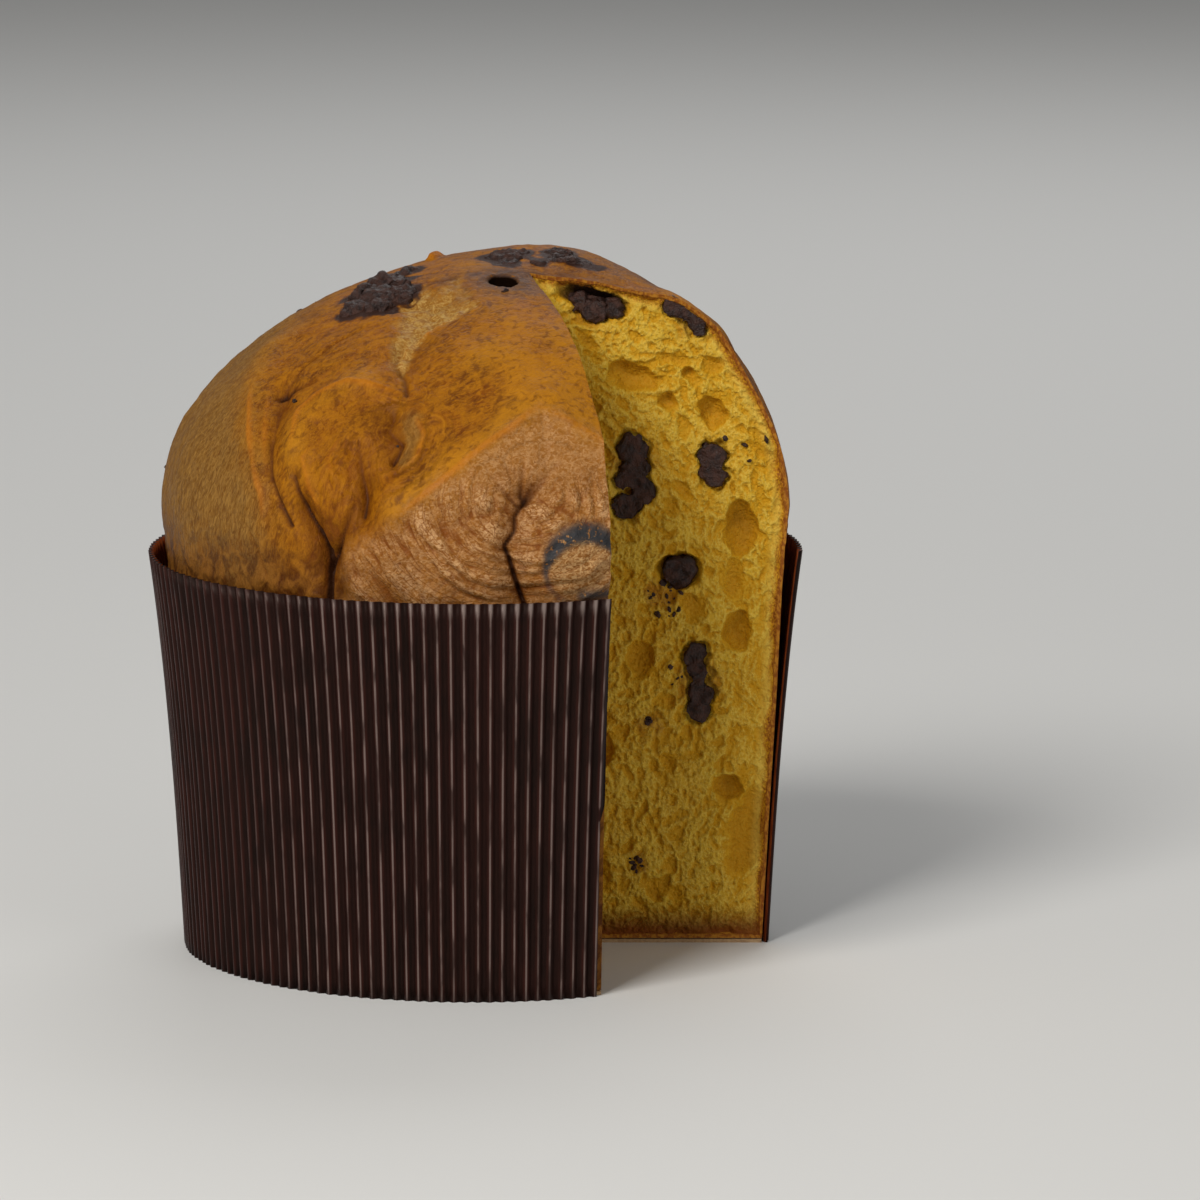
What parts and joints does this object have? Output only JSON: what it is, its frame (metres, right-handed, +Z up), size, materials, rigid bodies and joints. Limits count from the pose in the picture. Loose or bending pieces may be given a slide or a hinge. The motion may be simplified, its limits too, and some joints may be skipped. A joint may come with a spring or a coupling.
{
  "type": "chocolate panettone in its paper case",
  "caption": "Tall domed chocolate panettone with a wedge cut out, in its ribbed round paper case on a flat base disc.",
  "frame": {"origin": "centre of the paper case's round underside, on the surface that it stands on", "axes": "+Z up through the dome; -Y towards the viewer; the notch that the cut left opens between +X and -Y"},
  "size_m": [0.1808, 0.1806, 0.1911],
  "materials": {
    "cake": "baked crust, satin orange brown, with matt yellow crumb on the cut faces",
    "paper": "dark brown ribbed baking paper with a soft sheen",
    "base_card": "plain light brown card, matt",
    "chocolate": "dark chocolate, broken and half melted, satin"
  },
  "bodies": {
    "root": {"panettone": "cake", "case_wall": "paper", "case_base": "base_card", "chocolate_rear_slot": "chocolate", "chocolate_rear_crust": "chocolate", "chocolate_rear_tall": "chocolate", "chocolate_rear_edge": "chocolate", "chocolate_rear_pit": "chocolate", "chocolate_rear_long": "chocolate", "chocolate_front_large": "chocolate", "chocolate_front_low": "chocolate", "chocolate_front_side": "chocolate", "chocolate_crust_left": "chocolate", "chocolate_crust_top_a": "chocolate", "chocolate_crust_top_b": "chocolate", "chocolate_crust_back_a": "chocolate", "chocolate_crust_back_b": "chocolate"}
  },
  "joints": []
}
